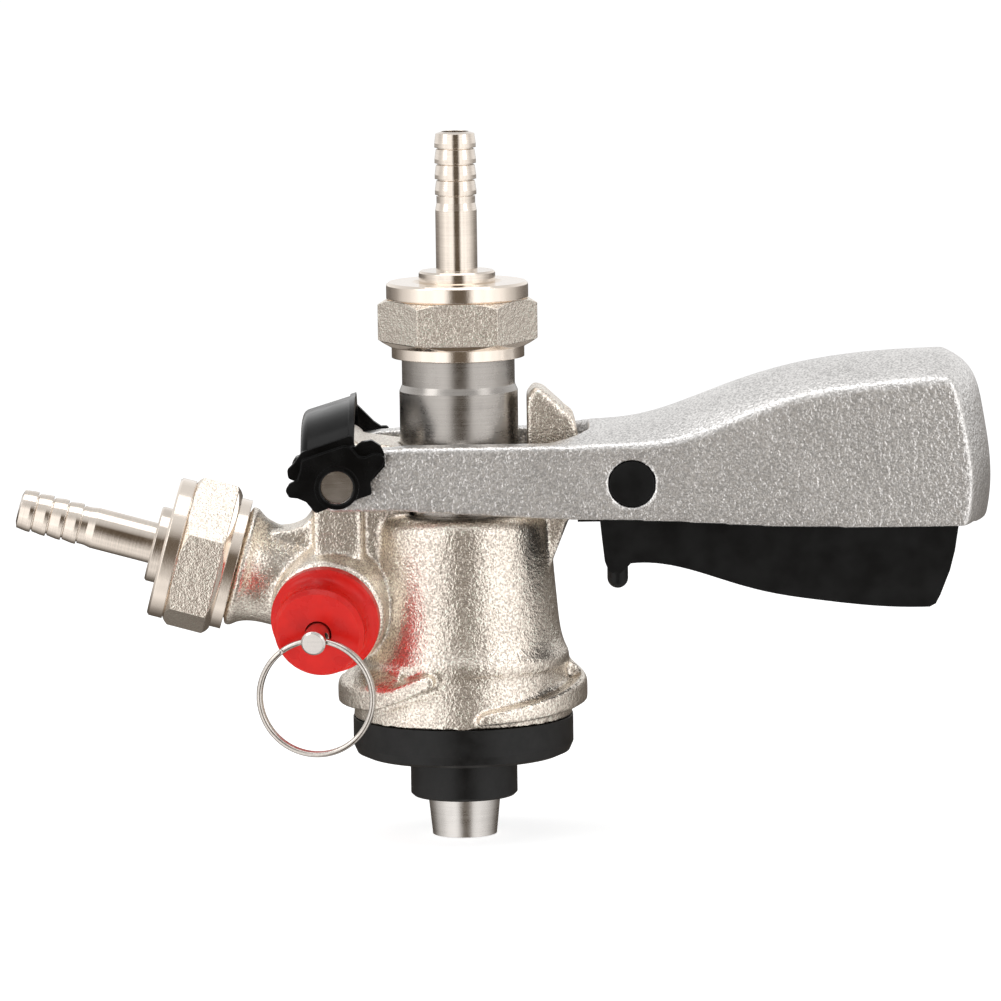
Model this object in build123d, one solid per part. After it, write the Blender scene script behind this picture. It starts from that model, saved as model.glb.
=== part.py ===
"""Lever-operated keg coupler with gas inlet, relief valve and trigger latch.

Millimetres. The probe axis is +Z, z = 0 is the lower face of the locking lugs,
+X points from the hinge to the grip and -Y is the side of the relief valve.
"""
from build123d import *
from math import cos, radians, sin, sqrt
import os

# ---------------------------------------------------------------- shared clearances
SLIDE_GAP = 0.25          # probe in the body bore, radial
PIN_GAP = 0.06            # pins in their bores, radial
PLAY = 0.3                # moving pieces beside fixed ones

# ---------------------------------------------------------------- body
BARREL_R = 19.6           # cast barrel at its top
BARREL_BASE_R = 20.9      # and above its flare
BARREL_TOP = 44.9         # rim that the probe comes out of
BARREL_EDGE = 3.0         # rounding of that rim
BARREL_FLARE = 9.0        # height of the curved flare above the bead
BEAD_R = 23.3             # cast bead above the lugs
BEAD_Z = 13.6
CORE_TOP_R = 22.4         # cast cone between the lugs
CORE_BOTTOM_R = 23.9
LUG_R = 27.2              # locking lugs
LUG_SHOULDER_Z = 8.8
LUG_BAND = 3.2            # machined band of each lug
LUG_LOW_Z = 1.3           # underside at the low end of each lug
LUG_SIDE_Z = 3.1          # underside a quarter turn further
LUG_END_Z = 12.2          # top of the raised end
COLUMN_RIGHT = -21.0      # front step between hinge column and web
WEB_W = 9.8               # half width of the web behind it
GUSSET_W = 6.5            # half width of the fillet between column and gas neck

# ---------------------------------------------------------------- probe
PROBE_R = 12.85
PROBE_NECK_R = 12.25
PROBE_STEP_Z = 71.2
PROBE_SHOULDER_Z = 24.0   # where the wide part ends in the gas chamber
STEM_R = 8.0
PROBE_BORE_R = 3.6
FLAT_Y = 10.2             # milled flats that the lever's bosses ride in
FLAT_TOP = 60.6
O_RING_R = 1.35           # section radius
O_RING_Z = (28.0, 33.0)
STROKE_ANGLE = 24.0       # lever travel, degrees

# ---------------------------------------------------------------- hose fittings
THREAD_R = 11.45          # threaded stub for a 5/8 in beer nut
NUT_FLATS = 30.0
NUT_HEX = 10.5            # length of the hexagon
NUT_LOW_R = 14.4
NUT_LOW = 2.4
NUT_TOP_R = 15.4
NUT_TOP = 3.4
NUT_SEAT_Z = 78.5         # lower end of the beer nut
NUT_LIP = 2.8             # lip that pulls on the tail's flange
TAIL_NECK_R = 8.3
TAIL_FLANGE = 2.4
TAIL_NECK_OUT = 2.4       # neck above the nut
TAIL_TUBE_R = 4.5
TAIL_BORE_R = 3.0
TAIL_LENGTH = 30.1        # from the neck's face to the end of the barbs
BARB_PITCH = 3.4
BARB_LEAD = 3.4           # waisted stretch of tube before the barbs
BARB_TAPER = 0.3
BARB_GROOVE = 0.6
BARBS = 4
WASHER = 1.6
WASHER_GAP = 0.9          # washers inside the thread, radial
DUCKBILL_R = 2.4          # bore of the gas check valve
DUCKBILL_LENGTH = 12.0
CHAMBER_R = 6.4           # ball chamber in the probe's top
BALL_R = 4.76
BALL_SEAT_DROP = 5.7      # ball seat below the nut's lower end
BALL_SEAT_RISE = 2.6      # height of its cone
BALL_TRAVEL = 3.0
GAS_POCKET_R = 7.0        # pocket that the duckbill opens into
GAS_BORE_R = 4.2

# ---------------------------------------------------------------- seals at the keg end
SEAL_R = 24.0
SEAL_DEPTH = 8.5
SEAL_BORE_R = 12.3
SEAL_SPIGOT_R = 18.6
SEAL_SPIGOT = 5.0
PROBE_SEAL_R = 11.65
PROBE_SEAL_TOP = -7.0
PROBE_SEAL_LOW = -17.6
TIP_R = 7.9
TIP_BORE_R = 3.3
TIP_END_R = 7.0
TIP_LOW = -26.2
TIP_SEAT_Z = -15.0        # inner end of the tip's spigot

# ---------------------------------------------------------------- lever
HINGE_X, HINGE_Z = -26.2, 53.1
HINGE_PIN_R = 3.5
ARM_OUT = 21.0            # half width over the arms
ARM_IN = 15.0             # half width between the arms
ARM_TOP = 61.0
ARM_END_R = 5.8
LUG_WALL = 1.9            # hinge lug left of its pin
LUG_RISE = 9.4            # its top above the pin
WINDOW_END = 28.0
WINDOW_CORNER = 9.0
BOSS_R = 6.8              # bosses that lift the probe
BOSS_Z = 53.5
GRIP_START = 20.0
GRIP_END = 115.2
GRIP_REAR_R = 44.0        # plan radius of the rear face
WALL = 3.6                # side walls of the channel under the grip
REST_FACE_Z = 42.4        # lower edge of the grip

# ---------------------------------------------------------------- hinge clip
CLIP_GAP = 0.15           # beside the arms
CLIP_HOLE_GAP = 1.2       # round the pin
EAR_THICK = 4.0
EAR_ROUND = 0.8           # rounding of the ears' lobes
STRAP_TILT = 17.0         # degrees, rising towards the grip
STRAP_BACK = 7.8          # strap's left edge behind the pin
STRAP_WIDTH = 11.6
STRAP_RISE = 13.3         # crown above the pin at the left edge
STRAP_THICK = 2.4
STRAP_FOOT = 5.0          # foot of the arch above the pin
STRAP_RIM = 0.4           # height of the rolled rim on the strap's edge
STRAP_RIM_WIDTH = 1.2

# ---------------------------------------------------------------- trigger
TRIGGER_X, TRIGGER_Z = 37.0, 52.6
TRIGGER_HEAD_R = 4.85
TRIGGER_PIN_R = 3.0
TRIGGER_HUB_R = 6.0
TRIGGER_W = 17.0          # half width
TRIGGER_NOSE = 30.2       # front face of the blade
TRIGGER_REAR = 8.0        # blade's rear inside the grip's end
BLADE_EDGE = [            # lower edge: share of the blade's length, height
    (0.151, 34.9), (0.248, 33.4), (0.36, 30.6), (0.471, 28.2), (0.61, 26.4), (0.779, 24.9), (0.918, 24.6),
]
PEG_R = 2.25              # round peg under the blade's nose
TOOTH_W = 4.0             # half width of the latch tooth
TOOTH_Z = (42.4, 45.4)
TOOTH_GAP = 0.15          # tooth beside the latch flank
LATCH_R = 52.6            # latch flank of the post, about the hinge
NOTCH = 1.3
SPRING_X = 62.0
SPRING_R = 3.6
SPRING_WIRE = 1.0
SPRING_TOP = 62.6
SPRING_LOW = 47.0

# ---------------------------------------------------------------- post on the body
POST_FACE = 14.7
POST_TOP = 72.3
POST_W = 6.5              # half width

# ---------------------------------------------------------------- gas inlet
GAS_TILT = 15.5           # degrees above the horizontal
GAS_Z = 20.0              # where its axis meets the probe axis
GAS_FACE = 50.7           # lower end of the gas nut, along its axis
GAS_NECK_R = 10.8
GAS_NUT_TURN = 20.0       # how far its hexagon is turned

# ---------------------------------------------------------------- relief valve
RELIEF_AT = Vector(-29.0, -17.4, 24.1)
RELIEF_DIR = Vector(-0.165, -1.0, -0.21).normalized()
RELIEF_BODY_R = 7.6
RELIEF_BODY_DEPTH = 7.0
RELIEF_BOSS_R = 12.6
RELIEF_BORE_R = 3.0
CAP_R = 11.8
CAP_FLANGE = 2.4
CAP_WAIST_R = 9.5
CAP_FACE_R = 9.7
CAP_LENGTH = 10.4
STEM_HEAD_R = 2.65
STEM_OUT = 6.2            # stem beyond the cap's face
RING_HOLE_R = 1.5
RING_R = 12.25            # centre line of the split ring
RING_WIRE = 0.66          # section radius
RING_PITCH = 1.0          # between its two coils


# ---------------------------------------------------------------- helpers
def front_slab(points, y_low, y_high):
    """A prism with this outline in X and Z, between two values of Y."""
    face = make_face(Polyline(*points, close=True))
    return extrude(Plane.XZ.offset(-y_high) * face, y_high - y_low)


def turned(points, place=Plane.XY):
    """A solid of revolution from (radius, height) points."""
    face = Plane.XZ * make_face(Polyline(*points, close=True))
    return place * revolve(face, Axis.Z)


def tube(outer, inner, low, high, place=Plane.XY):
    return turned([(inner, low), (outer, low), (outer, high), (inner, high)], place)


def rod(radius, low, high, place=Plane.XY):
    return place * Pos(0, 0, (low + high) / 2) * Cylinder(radius, high - low)


def cross_rod(x, z, radius, y_low, y_high):
    """A round bar along Y."""
    bar = Rot(90, 0, 0) * Cylinder(radius, y_high - y_low)
    return Pos(x, (y_low + y_high) / 2, z) * bar


def about_hinge(shape, angle):
    """The shape carried up with the lever by this many degrees."""
    place = Location((HINGE_X, 0, HINGE_Z)) * Rot(0, -angle, 0)
    return place * Location((-HINGE_X, 0, -HINGE_Z)) * shape


def one(shape):
    """The result of a boolean as one solid."""
    solids = shape.solids()
    return max(solids, key=lambda solid: solid.volume)


def axis_plane(origin, direction):
    """A plane whose +Z runs along the direction and whose X stays level."""
    level = direction.cross(Vector(0, 0, 1)).normalized()
    return Plane(origin=origin, x_dir=level, z_dir=direction)


gas_dir = Vector(-cos(radians(GAS_TILT)), 0, sin(radians(GAS_TILT)))
gas_plane = axis_plane(Vector(0, 0, GAS_Z), gas_dir)
relief_plane = axis_plane(RELIEF_AT, RELIEF_DIR)
bore_r = PROBE_R + SLIDE_GAP
stub_top = NUT_SEAT_Z + NUT_LOW + NUT_HEX + NUT_TOP - NUT_LIP - TAIL_FLANGE - WASHER
stub_length = stub_top - NUT_SEAT_Z
ball_seat_z = NUT_SEAT_Z - BALL_SEAT_DROP


# ---------------------------------------------------------------- body
def lug_ring():
    """Both locking lugs: a shouldered ring cut back to two rising ramps."""
    ring = turned([
        (0, 0), (LUG_R, 0), (LUG_R, LUG_SHOULDER_Z - 1.2), (LUG_R - 0.6, LUG_SHOULDER_Z),
        (BEAD_R - 0.6, BEAD_Z - 1.0), (0, BEAD_Z - 1.0),
    ])
    tall = rod(LUG_R, 0, LUG_END_Z + 1)
    reach = LUG_R + 1
    band_top = LUG_SIDE_Z + LUG_BAND
    low_end = front_slab([
        (3.2, LUG_LOW_Z), (17.2, LUG_LOW_Z + 0.6), (reach, LUG_SIDE_Z), (reach, LUG_END_Z),
        (25.5, LUG_SHOULDER_Z - 0.4), (20.5, band_top + 0.5), (15.5, band_top - 0.7),
        (8.5, LUG_LOW_Z + LUG_BAND), (4.4, LUG_LOW_Z + LUG_BAND - 0.7), (3.2, LUG_LOW_Z + LUG_BAND - 2),
    ], -reach, 0)
    side = front_slab([
        (-reach, LUG_SIDE_Z), (-19.6, LUG_SIDE_Z + 0.4), (-13.5, LUG_END_Z - 6.0),
        (-13.5, BEAD_Z), (-reach, BEAD_Z),
    ], -reach, 0)
    raised_end = front_slab([
        (-19.8, LUG_SIDE_Z + 0.3), (-7.6, LUG_END_Z - 3.3), (-6.2, LUG_END_Z - 2.6),
        (-5.8, LUG_END_Z - 1.2), (-6.5, LUG_END_Z - 0.1), (-8.2, LUG_END_Z), (-19.8, band_top + 0.9),
    ], -reach, 0)
    half = (ring & low_end) + (ring & side) + (tall & raised_end)
    return half + Rot(0, 0, 180) * half


def body_outside():
    """The cast barrel, flared down to the bead and the cone that the lugs stand on."""
    flare_top = BEAD_Z + 1.4 + BARREL_FLARE
    outline = Polyline((0, 0), (CORE_BOTTOM_R, 0), (CORE_TOP_R, BEAD_Z - 3.0))
    outline += Spline((CORE_TOP_R, BEAD_Z - 3.0), (BEAD_R, BEAD_Z - 0.6), (BEAD_R - 0.7, BEAD_Z + 1.4))
    outline += Spline(
        (BEAD_R - 0.7, BEAD_Z + 1.4), (BARREL_BASE_R, flare_top), (BARREL_R, BARREL_TOP),
        tangents=[(-0.45, 1), (0, 1)])
    outline += Polyline((BARREL_R, BARREL_TOP), (0, BARREL_TOP), (0, 0))
    barrel = revolve(Plane.XZ * make_face(outline), Axis.Z)
    return fillet(barrel.edges().filter_by(GeomType.CIRCLE).group_by(Axis.Z)[-1], BARREL_EDGE)


def hinge_column():
    """The column between the lever's arms that carries the pin, and its web to the barrel."""
    depth = ARM_IN - PLAY
    left = HINGE_X - HINGE_PIN_R - LUG_WALL
    top = HINGE_Z + LUG_RISE
    right = -(BOSS_R + 4.2)
    column = front_slab([
        (left, 30.0), (left, HINGE_Z + 2.5), (left + 3.4, top - 0.8), (left + 5.2, top),
        (left + 8.6, top), (COLUMN_RIGHT, top - 1.4), (COLUMN_RIGHT, 20.0), (left + 4, 24.0),
    ], -depth, depth)
    column = fillet(column.edges().filter_by(Axis.Z).group_by(Axis.X)[-1], 1.5)
    web = front_slab([
        (COLUMN_RIGHT - 2, 18.0), (COLUMN_RIGHT - 2, top - 1.0), (-13.5, top - 2.4),
        (right, top - 2.6), (right, 18.0),
    ], -WEB_W, WEB_W)
    gusset = front_slab([
        (left + 2, 36.0), (left + 2, 48.0), (left, 47.6), (left - 0.7, 44.8), (left - 2.2, 42.9),
        (left - 4.8, 41.8), (left - 9.0, 41.4), (left - 9.0, 36.0),
    ], -GUSSET_W, GUSSET_W)
    return column + web + gusset


def post():
    """The latch post: its far flank is an arc about the hinge, with two notches."""
    flank = HINGE_X + LATCH_R
    outline = front_slab([
        (POST_FACE, 30.0), (POST_FACE, POST_TOP - 2.0), (POST_FACE + 1.6, POST_TOP),
        (POST_FACE + 3.6, POST_TOP - 0.6), (POST_FACE + 8.4, POST_TOP - 5.0), (flank + 1, 64.0),
        (flank + 1, 46.0), (23.6, 43.4), (20.2, 35.0), (18.0, 28.0),
    ], -POST_W, POST_W)
    outline &= cross_rod(HINGE_X, HINGE_Z, LATCH_R, -POST_W, POST_W)
    edges = outline.edges().filter_by(GeomType.LINE).filter_by(Axis.Y, reverse=True)
    tops = [edge for edge in edges if edge.center().Z > POST_TOP - 6]
    outline = fillet(tops, 1.5)
    low, high = TOOTH_Z[0] - 0.7, TOOTH_Z[1] + 1.7
    notch = front_slab([
        (flank - NOTCH - 0.9, low), (flank + 2, low), (flank + 2, high), (flank - NOTCH - 0.9, high),
    ], -TOOTH_W - 0.6, TOOTH_W + 0.6)
    return outline - notch - about_hinge(notch, STROKE_ANGLE)


def gas_neck():
    """The cast inlet, flared where the nut's collar covers it, and its threaded stub."""
    flare_r = NUT_LOW_R - 1.2
    outline = Polyline((0, 8.0), (GAS_NECK_R + 1.2, 8.0), (GAS_NECK_R, 26.0), (GAS_NECK_R, GAS_FACE - 9.5))
    outline += Spline((GAS_NECK_R, GAS_FACE - 9.5), (flare_r, GAS_FACE - 1.8), tangents=[(0, 1), (0.8, 0.6)])
    outline += Polyline(
        (flare_r, GAS_FACE - 1.8), (flare_r, GAS_FACE - PLAY), (THREAD_R, GAS_FACE - PLAY),
        (THREAD_R, GAS_FACE + stub_length - 0.8), (THREAD_R - 0.8, GAS_FACE + stub_length),
        (0, GAS_FACE + stub_length), (0, 8.0),
    )
    return gas_plane * revolve(Plane.XZ * make_face(outline), Axis.Z)


def relief_boss():
    boss = rod(RELIEF_BOSS_R, -18, 0)
    return relief_plane * fillet(boss.edges().group_by(Axis.Z)[-1], 1.8)


def coupler_body():
    solid = body_outside() + lug_ring() + hinge_column() + gas_neck() + relief_boss()
    solid -= rod(bore_r, -1, 80)
    solid += post()
    solid -= tube(SEAL_SPIGOT_R, 0, -1, SEAL_SPIGOT)
    solid -= rod(GAS_POCKET_R, GAS_FACE - 4, GAS_FACE + stub_length + 1, gas_plane)
    solid -= rod(GAS_BORE_R, 5, GAS_FACE, gas_plane)
    solid -= rod(RELIEF_BODY_R, -RELIEF_BODY_DEPTH, 1, relief_plane)
    solid -= rod(RELIEF_BORE_R, -18, 0, relief_plane)
    solid -= cross_rod(HINGE_X, HINGE_Z, HINGE_PIN_R + PIN_GAP, -30, 30)
    return one(solid)


# ---------------------------------------------------------------- hose fittings
def hex_nut(place, base, turn=0):
    """Union nut: two turned collars, a chamfered hexagon and an inner lip."""
    hex_low = base + NUT_LOW
    hex_high = hex_low + NUT_HEX
    top = hex_high + NUT_TOP
    outline = RegularPolygon(NUT_FLATS / 2, 6, major_radius=False, rotation=turn)
    hexagon = extrude(Pos(0, 0, hex_low) * outline, NUT_HEX)
    corner = NUT_FLATS / sqrt(3)
    drum = turned([
        (0, hex_low), (NUT_FLATS / 2 - 0.2, hex_low), (corner + 0.1, hex_low + 1.5),
        (corner + 0.1, hex_high - 1.5), (NUT_FLATS / 2 - 0.2, hex_high), (0, hex_high),
    ])
    solid = (hexagon & drum) + rod(NUT_LOW_R, base, hex_low) + rod(NUT_TOP_R, hex_high, top)
    solid = chamfer(solid.edges().filter_by(GeomType.CIRCLE).group_by(Axis.Z)[-1], 0.5)
    solid -= rod(THREAD_R + PIN_GAP, base - 1, top - NUT_LIP)
    solid -= rod(TAIL_NECK_R + 0.2, base, top + 1)
    solid -= turned([
        (0, top + 0.1), (TAIL_NECK_R + 1.6, top + 0.1), (TAIL_NECK_R + 0.2, top - 1.2),
        (0, top - 1.2),
    ])
    return place * one(solid)


def hose_tail(place, base):
    """Tail piece: clamped flange, neck, tube and hose barbs."""
    top = base + NUT_LOW + NUT_HEX + NUT_TOP
    flange_low = top - NUT_LIP - TAIL_FLANGE
    neck_top = top + TAIL_NECK_OUT
    end = neck_top + TAIL_LENGTH
    barbs_low = end - BARBS * BARB_PITCH
    outline = [
        (TAIL_BORE_R, flange_low), (THREAD_R - 0.7, flange_low), (THREAD_R - 0.7, top - NUT_LIP),
        (TAIL_NECK_R, top - NUT_LIP), (TAIL_NECK_R, neck_top - 0.4), (TAIL_NECK_R - 0.4, neck_top),
        (TAIL_TUBE_R, neck_top), (TAIL_TUBE_R, barbs_low - BARB_LEAD),
        (TAIL_TUBE_R - BARB_TAPER, barbs_low - 1.8), (TAIL_TUBE_R - BARB_TAPER, barbs_low - 0.3),
        (TAIL_TUBE_R - BARB_GROOVE, barbs_low - 0.3),
    ]
    for count in range(BARBS):
        low = barbs_low + count * BARB_PITCH
        outline += [
            (TAIL_TUBE_R - BARB_GROOVE, low), (TAIL_TUBE_R, low), (TAIL_TUBE_R, low + 0.9),
            (TAIL_TUBE_R - BARB_TAPER, low + BARB_PITCH - 0.4),
            (TAIL_TUBE_R - BARB_GROOVE, low + BARB_PITCH - 0.3),
        ]
    outline += [(TAIL_BORE_R, end)]
    return turned(outline, place)


def gas_check_valve():
    """Rubber duckbill whose flange is the gas washer."""
    seat = GAS_FACE + stub_length
    lips = seat + WASHER - DUCKBILL_LENGTH
    return turned([
        (DUCKBILL_R, seat + WASHER), (THREAD_R - WASHER_GAP, seat + WASHER), (THREAD_R - WASHER_GAP, seat),
        (GAS_POCKET_R - 0.4, seat), (GAS_POCKET_R - 0.4, lips + 5), (DUCKBILL_R + 1.4, lips),
        (DUCKBILL_R, lips),
    ], gas_plane)


# ---------------------------------------------------------------- probe group
def probe_shaft():
    outline = [
        (0, TIP_SEAT_Z), (STEM_R - 2, TIP_SEAT_Z), (STEM_R - 2, PROBE_SEAL_TOP), (STEM_R, PROBE_SEAL_TOP),
        (STEM_R, PROBE_SHOULDER_Z - 3), (PROBE_R - 1, PROBE_SHOULDER_Z), (PROBE_R, PROBE_SHOULDER_Z + 1),
    ]
    for height in O_RING_Z:
        outline += [
            (PROBE_R, height - O_RING_R), (bore_r - 2 * O_RING_R - 0.02, height - O_RING_R),
            (bore_r - 2 * O_RING_R - 0.02, height + O_RING_R), (PROBE_R, height + O_RING_R),
        ]
    outline += [
        (PROBE_R, PROBE_STEP_Z), (PROBE_NECK_R, PROBE_STEP_Z + 1.4), (PROBE_NECK_R, NUT_SEAT_Z - PLAY),
        (THREAD_R, NUT_SEAT_Z - PLAY), (THREAD_R, stub_top - 0.8), (THREAD_R - 0.8, stub_top), (0, stub_top),
    ]
    solid = turned(outline)
    flat_low = 2 * BOSS_Z - FLAT_TOP
    for side in (-1, 1):
        flat = Pos(0, side * (FLAT_Y + 5), (flat_low + FLAT_TOP) / 2) * Box(40, 10, FLAT_TOP - flat_low)
        solid -= flat
    solid -= rod(PROBE_BORE_R, TIP_SEAT_Z - 1, stub_top + 1)
    solid -= turned([(0, ball_seat_z), (PROBE_BORE_R, ball_seat_z), (CHAMBER_R, ball_seat_z + BALL_SEAT_RISE),
                     (CHAMBER_R, stub_top + 1), (0, stub_top + 1)])
    return one(solid)


def o_ring(height):
    return Pos(0, 0, height) * Torus(bore_r - O_RING_R - 0.02, O_RING_R)


def probe_seal():
    """Rubber seal on the probe's end that opens the keg valve's gas port."""
    return turned([
        (STEM_R - 2, PROBE_SEAL_LOW), (PROBE_SEAL_R - 0.6, PROBE_SEAL_LOW),
        (PROBE_SEAL_R, PROBE_SEAL_LOW + 0.6), (PROBE_SEAL_R, PROBE_SEAL_TOP - 1.5),
        (PROBE_SEAL_R - 1.5, PROBE_SEAL_TOP), (STEM_R - 2, PROBE_SEAL_TOP),
    ])


def probe_tip():
    """Screwed end that clamps the seal and presses on the keg valve."""
    return turned([
        (TIP_BORE_R, TIP_LOW), (TIP_END_R, TIP_LOW), (TIP_R, PROBE_SEAL_LOW),
        (STEM_R - 2.0, PROBE_SEAL_LOW), (STEM_R - 2.0, TIP_SEAT_Z), (TIP_BORE_R, TIP_SEAT_Z),
    ])


def body_seal():
    """Rubber seal that the lugs pull down on the keg valve."""
    return turned([
        (SEAL_BORE_R, -SEAL_DEPTH + 1), (SEAL_BORE_R + 1, -SEAL_DEPTH), (SEAL_R - 2.6, -SEAL_DEPTH),
        (SEAL_R - 0.8, -SEAL_DEPTH + 0.8), (SEAL_R, -SEAL_DEPTH + 2.6), (SEAL_R, 0),
        (SEAL_SPIGOT_R, 0), (SEAL_SPIGOT_R, SEAL_SPIGOT), (SEAL_BORE_R, SEAL_SPIGOT),
    ])


def ball_height():
    """Centre of the ball that rests on the conical seat."""
    slope = sqrt((CHAMBER_R - PROBE_BORE_R) ** 2 + BALL_SEAT_RISE ** 2)
    side = (CHAMBER_R - PROBE_BORE_R) / slope
    touch = ball_seat_z - PROBE_BORE_R * BALL_SEAT_RISE / (CHAMBER_R - PROBE_BORE_R)
    return touch + (BALL_R + 0.02) / side


def ball_cage():
    """Retainer above the ball: a ring with a cross bar."""
    low = ball_height() + BALL_R + BALL_TRAVEL + 0.1
    ring = tube(CHAMBER_R - 0.02, CHAMBER_R - 1.4, low, stub_top)
    bar = Pos(0, 0, low + 0.6) * Box(2 * CHAMBER_R - 1.5, 1.6, 1.2)
    return one(ring + bar)


# ---------------------------------------------------------------- lever group
def grip_at(share):
    """X at this share of the way from the grip's start to its end."""
    return GRIP_START + share * (GRIP_END - GRIP_START)


def grip_section(share, bottom, ridge, crown, corner):
    """Cross-section of the grip: flat sides under a crowned top."""
    outline = Polyline((-ARM_OUT, ridge), (-ARM_OUT, bottom), (ARM_OUT, bottom), (ARM_OUT, ridge))
    outline += ThreePointArc((ARM_OUT, ridge), (0, crown), (-ARM_OUT, ridge))
    face = make_face(outline)
    corners = [v for v in face.vertices() if abs(v.Y - ridge) < 0.01]
    face = fillet(corners, corner)
    return Plane(origin=(grip_at(share), 0, 0), x_dir=(0, 1, 0), z_dir=(1, 0, 0)) * face


def grip_outside():
    """Loft through sections that rise and crown towards the rear."""
    stations = [
        (0.0, REST_FACE_Z + 2.7, ARM_TOP, ARM_TOP + 0.6, 0.7),
        (0.105, REST_FACE_Z + 2.4, ARM_TOP, ARM_TOP + 3.1, 1.0),
        (0.231, REST_FACE_Z + 2.0, ARM_TOP + 0.3, ARM_TOP + 4.8, 1.4),
        (0.357, REST_FACE_Z + 1.3, ARM_TOP + 3.0, ARM_TOP + 9.0, 1.8),
        (0.473, REST_FACE_Z + 0.6, ARM_TOP + 7.4, ARM_TOP + 12.8, 2.2),
        (0.588, REST_FACE_Z + 0.2, ARM_TOP + 10.5, ARM_TOP + 15.4, 2.2),
        (0.735, REST_FACE_Z, ARM_TOP + 12.2, ARM_TOP + 17.2, 2.2),
        (0.872, REST_FACE_Z, ARM_TOP + 13.2, ARM_TOP + 17.8, 2.2),
        (1.01, REST_FACE_Z, ARM_TOP + 13.8, ARM_TOP + 18.0, 2.2),
    ]
    return loft([grip_section(*station) for station in stations])


def grip_end():
    """Barrel-shaped limit of the rear face and its upper edge."""
    centre = GRIP_END - GRIP_REAR_R
    outline = Polyline((0, 30), (GRIP_REAR_R - 1.6, 30), (GRIP_REAR_R - 1.6, 40.5))
    outline += Spline(
        (GRIP_REAR_R - 1.6, 40.5), (GRIP_REAR_R, 50.3), (GRIP_REAR_R - 1.7, 66.4),
        (GRIP_REAR_R - 4.6, 75.0), (GRIP_REAR_R - 10.7, 78.9), (GRIP_REAR_R - 16, 79.6),
    )
    outline += Polyline((GRIP_REAR_R - 16, 79.6), (GRIP_REAR_R - 16, 95), (0, 95), (0, 30))
    barrel = revolve(Plane.XZ * make_face(outline), Axis.Z)
    front = front_slab([(0, 30), (centre + 6, 30), (centre + 6, 95), (0, 95)], -30, 30)
    return Pos(centre, 0, 0) * barrel + front


def arms():
    outline = front_slab([
        (HINGE_X, HINGE_Z + ARM_END_R), (-17.5, ARM_TOP - 0.4), (-12.0, ARM_TOP),
        (GRIP_START + 1, ARM_TOP), (GRIP_START + 1, REST_FACE_Z + 2.7), (-14.0, 47.3),
        (HINGE_X, HINGE_Z - ARM_END_R),
    ], -ARM_OUT, ARM_OUT)
    uppers = outline.edges().filter_by(GeomType.LINE).filter_by(Axis.Y, reverse=True)
    outline = fillet([edge for edge in uppers if edge.center().Z > ARM_TOP - 0.1], 0.7)
    return outline + cross_rod(HINGE_X, HINGE_Z, ARM_END_R, -ARM_OUT, ARM_OUT)


def lever_handle():
    grip = grip_outside() & grip_end()
    solid = arms() + grip
    window = Pos((WINDOW_END - 45) / 2, 0, 55) * Box(WINDOW_END + 45, 2 * ARM_IN, 40)
    window = fillet(window.edges().filter_by(Axis.Z).group_by(Axis.X)[-1], WINDOW_CORNER)
    solid -= window
    inner = ARM_OUT - WALL
    front = WINDOW_END + 1.0
    deep = ARM_TOP - 2.1
    channel = front_slab([
        (front, 30.0), (front, 46.9), (front + 1.6, 48.4), (front + 1.6, deep), (grip_at(0.252), deep),
        (grip_at(0.378), deep + 2.6), (grip_at(0.483), deep + 6.7), (grip_at(0.609), deep + 10.1),
        (grip_at(0.84), deep + 11.6), (GRIP_END - 9.6, deep + 10.5), (GRIP_END - 7.6, deep + 3.1),
        (GRIP_END - 5.8, 54.0), (GRIP_END - 4.9, REST_FACE_Z), (GRIP_END - 4.9, 30.0),
    ], -inner, inner)
    solid -= channel
    solid -= front_slab([
        (WINDOW_END - 1, 30.0), (WINDOW_END - 1, 50.0), (front + 3, 50.0), (front + 3, 30.0),
    ], -TOOTH_W - 1, TOOTH_W + 1)
    for side in (-1, 1):
        y_low = min(side * (FLAT_Y + PLAY), side * (ARM_IN + 1))
        solid += cross_rod(0, BOSS_Z, BOSS_R, y_low, y_low + ARM_IN + 1 - FLAT_Y - PLAY)
    solid -= cross_rod(HINGE_X, HINGE_Z, HINGE_PIN_R + PIN_GAP, -30, 30)
    solid -= cross_rod(TRIGGER_X, TRIGGER_Z, TRIGGER_HEAD_R + PIN_GAP, -30, 30)
    solid -= rod(SPRING_R - SPRING_WIRE / 2 + 1.6, 0, SPRING_TOP, Plane((SPRING_X, 0, 0)))
    return one(solid)


def hinge_pin():
    return cross_rod(HINGE_X, HINGE_Z, HINGE_PIN_R, -ARM_OUT - 2.6, ARM_OUT + 2.6)


EAR_LOBES = [
    (-7.4, 6.0), (1.7, 8.9), (3.0, 8.7), (4.7, 6.6), (6.2, 6.4), (8.0, 7.2), (9.5, 7.1),
    (10.5, 6.2), (9.8, 4.4), (8.2, 2.8), (7.2, 0.9), (7.6, -1.4), (4.0, -2.6), (3.2, -3.1),
    (-1.6, -3.4), (-1.2, -4.1), (-4.6, -5.4), (-6.6, -2.9), (-8.4, -2.1), (-10.2, -1.9),
    (-11.0, -0.4), (-10.1, 1.1), (-8.4, 1.7), (-7.7, 3.7),
]
BACK_LOBES = [
    (-7.4, 7.6), (3.5, 11.2), (4.0, 8.6), (5.4, 9.6), (7.6, 10.0), (9.4, 8.8), (10.3, 7.0),
    (10.4, 4.4), (7.2, 0.9), (7.6, -1.4), (4.0, -2.6), (-1.2, -4.1), (-4.6, -5.4), (-6.6, -2.9),
    (-8.6, 1.2), (-10.4, 2.0), (-10.6, 3.8), (-9.0, 5.4),
]
FAR_WEB = [(-7.4, 6.0), (3.4, 13.0), (7.3, 9.0), (8.9, 7.9), (10.9, 8.0), (9.8, 4.4), (-7.7, 3.7)]


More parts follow.
